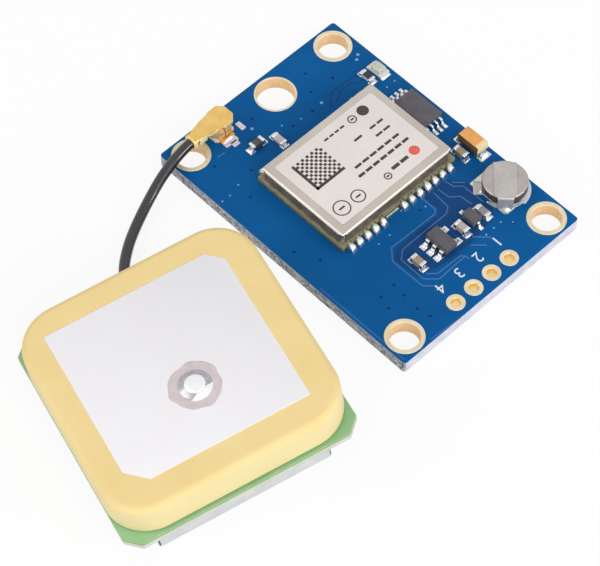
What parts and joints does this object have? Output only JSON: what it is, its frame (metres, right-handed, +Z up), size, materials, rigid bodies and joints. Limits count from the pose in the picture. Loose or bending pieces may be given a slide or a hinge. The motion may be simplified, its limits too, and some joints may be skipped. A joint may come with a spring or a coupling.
{
  "type": "gps receiver module with patch antenna",
  "caption": "Small blue satellite positioning board with a shielded receiver, backup cell and a ceramic patch antenna on a short black coaxial lead.",
  "frame": {"origin": "centre of the circuit board's underside", "axes": "+X along the board's long edge towards the header holes, +Y along its short edge away from the antenna, +Z up out of the component side"},
  "size_m": [0.0389, 0.058, 0.01],
  "materials": {
    "board_mask": "blue solder mask over glass laminate",
    "gold_plating": "gold plated, satin",
    "module_laminate": "bare laminate edge with plated half holes and solder",
    "shield_sheet": "nickel silver sheet, satin",
    "label_film": "pale printed field",
    "solder": "reflowed solder",
    "black_resin": "moulded epoxy with tinned leads",
    "white_plastic": "moulded white plastic",
    "clear_resin": "cloudy clear resin",
    "tan_ceramic": "bare ceramic with tinned ends",
    "pale_ceramic": "pale ceramic with tinned ends",
    "grey_ferrite": "dark ferrite with tinned ends",
    "orange_resin": "moulded orange resin",
    "steel": "satin stainless sheet",
    "grey_seal": "dark seal",
    "black_jacket": "smooth black cable jacket",
    "yellow_ceramic": "fine matte dielectric ceramic",
    "silver_film": "fired silver film, pale and matte",
    "tin_plate": "tin-plated sheet",
    "tape": "double-sided adhesive tape",
    "green_laminate": "green solder mask over glass laminate"
  },
  "bodies": {
    "root": {"circuit_board": "board_mask", "corner_plating_1": "gold_plating", "corner_plating_2": "gold_plating", "corner_plating_3": "gold_plating", "corner_plating_4": "gold_plating", "large_hole_plating_1": "gold_plating", "header_plating_1": "gold_plating", "header_plating_2": "gold_plating", "header_plating_3": "gold_plating", "header_plating_4": "gold_plating", "module_base": "module_laminate", "module_can": "shield_sheet", "module_label": "label_film", "module_chip": "black_resin", "module_crystal": "steel", "module_filter": "pale_ceramic", "led_resistor": "pale_ceramic", "module_capacitor": "tan_ceramic", "input_capacitor": "tan_ceramic", "output_capacitor": "pale_ceramic", "charge_resistor": "pale_ceramic", "aerial_inductor": "grey_ferrite", "aerial_capacitor": "pale_ceramic", "status_led_base": "white_plastic", "status_led_lens": "clear_resin", "memory_chip": "black_resin", "regulator": "black_resin", "charge_diode": "black_resin", "tantalum_capacitor": "orange_resin", "tantalum_terminal_1": "solder", "tantalum_terminal_2": "solder", "cell_can": "steel", "cell_gasket": "grey_seal", "cell_cap": "steel", "cell_top_tab": "steel", "cell_bottom_tab": "steel", "coax_socket_base": "white_plastic", "coax_socket_shell": "gold_plating", "coax_socket_pin": "gold_plating", "coax_plug_shell": "gold_plating", "coax_plug_insulator": "white_plastic", "coax_plug_contact": "gold_plating", "antenna_lead": "black_jacket", "lead_joint": "solder", "antenna_can": "tin_plate", "antenna_amplifier": "black_resin", "antenna_filter": "steel", "antenna_board": "green_laminate", "antenna_tape": "tape", "antenna_ceramic": "yellow_ceramic", "antenna_electrode": "silver_film", "feed_pin": "solder", "feed_solder": "solder"}
  },
  "joints": []
}
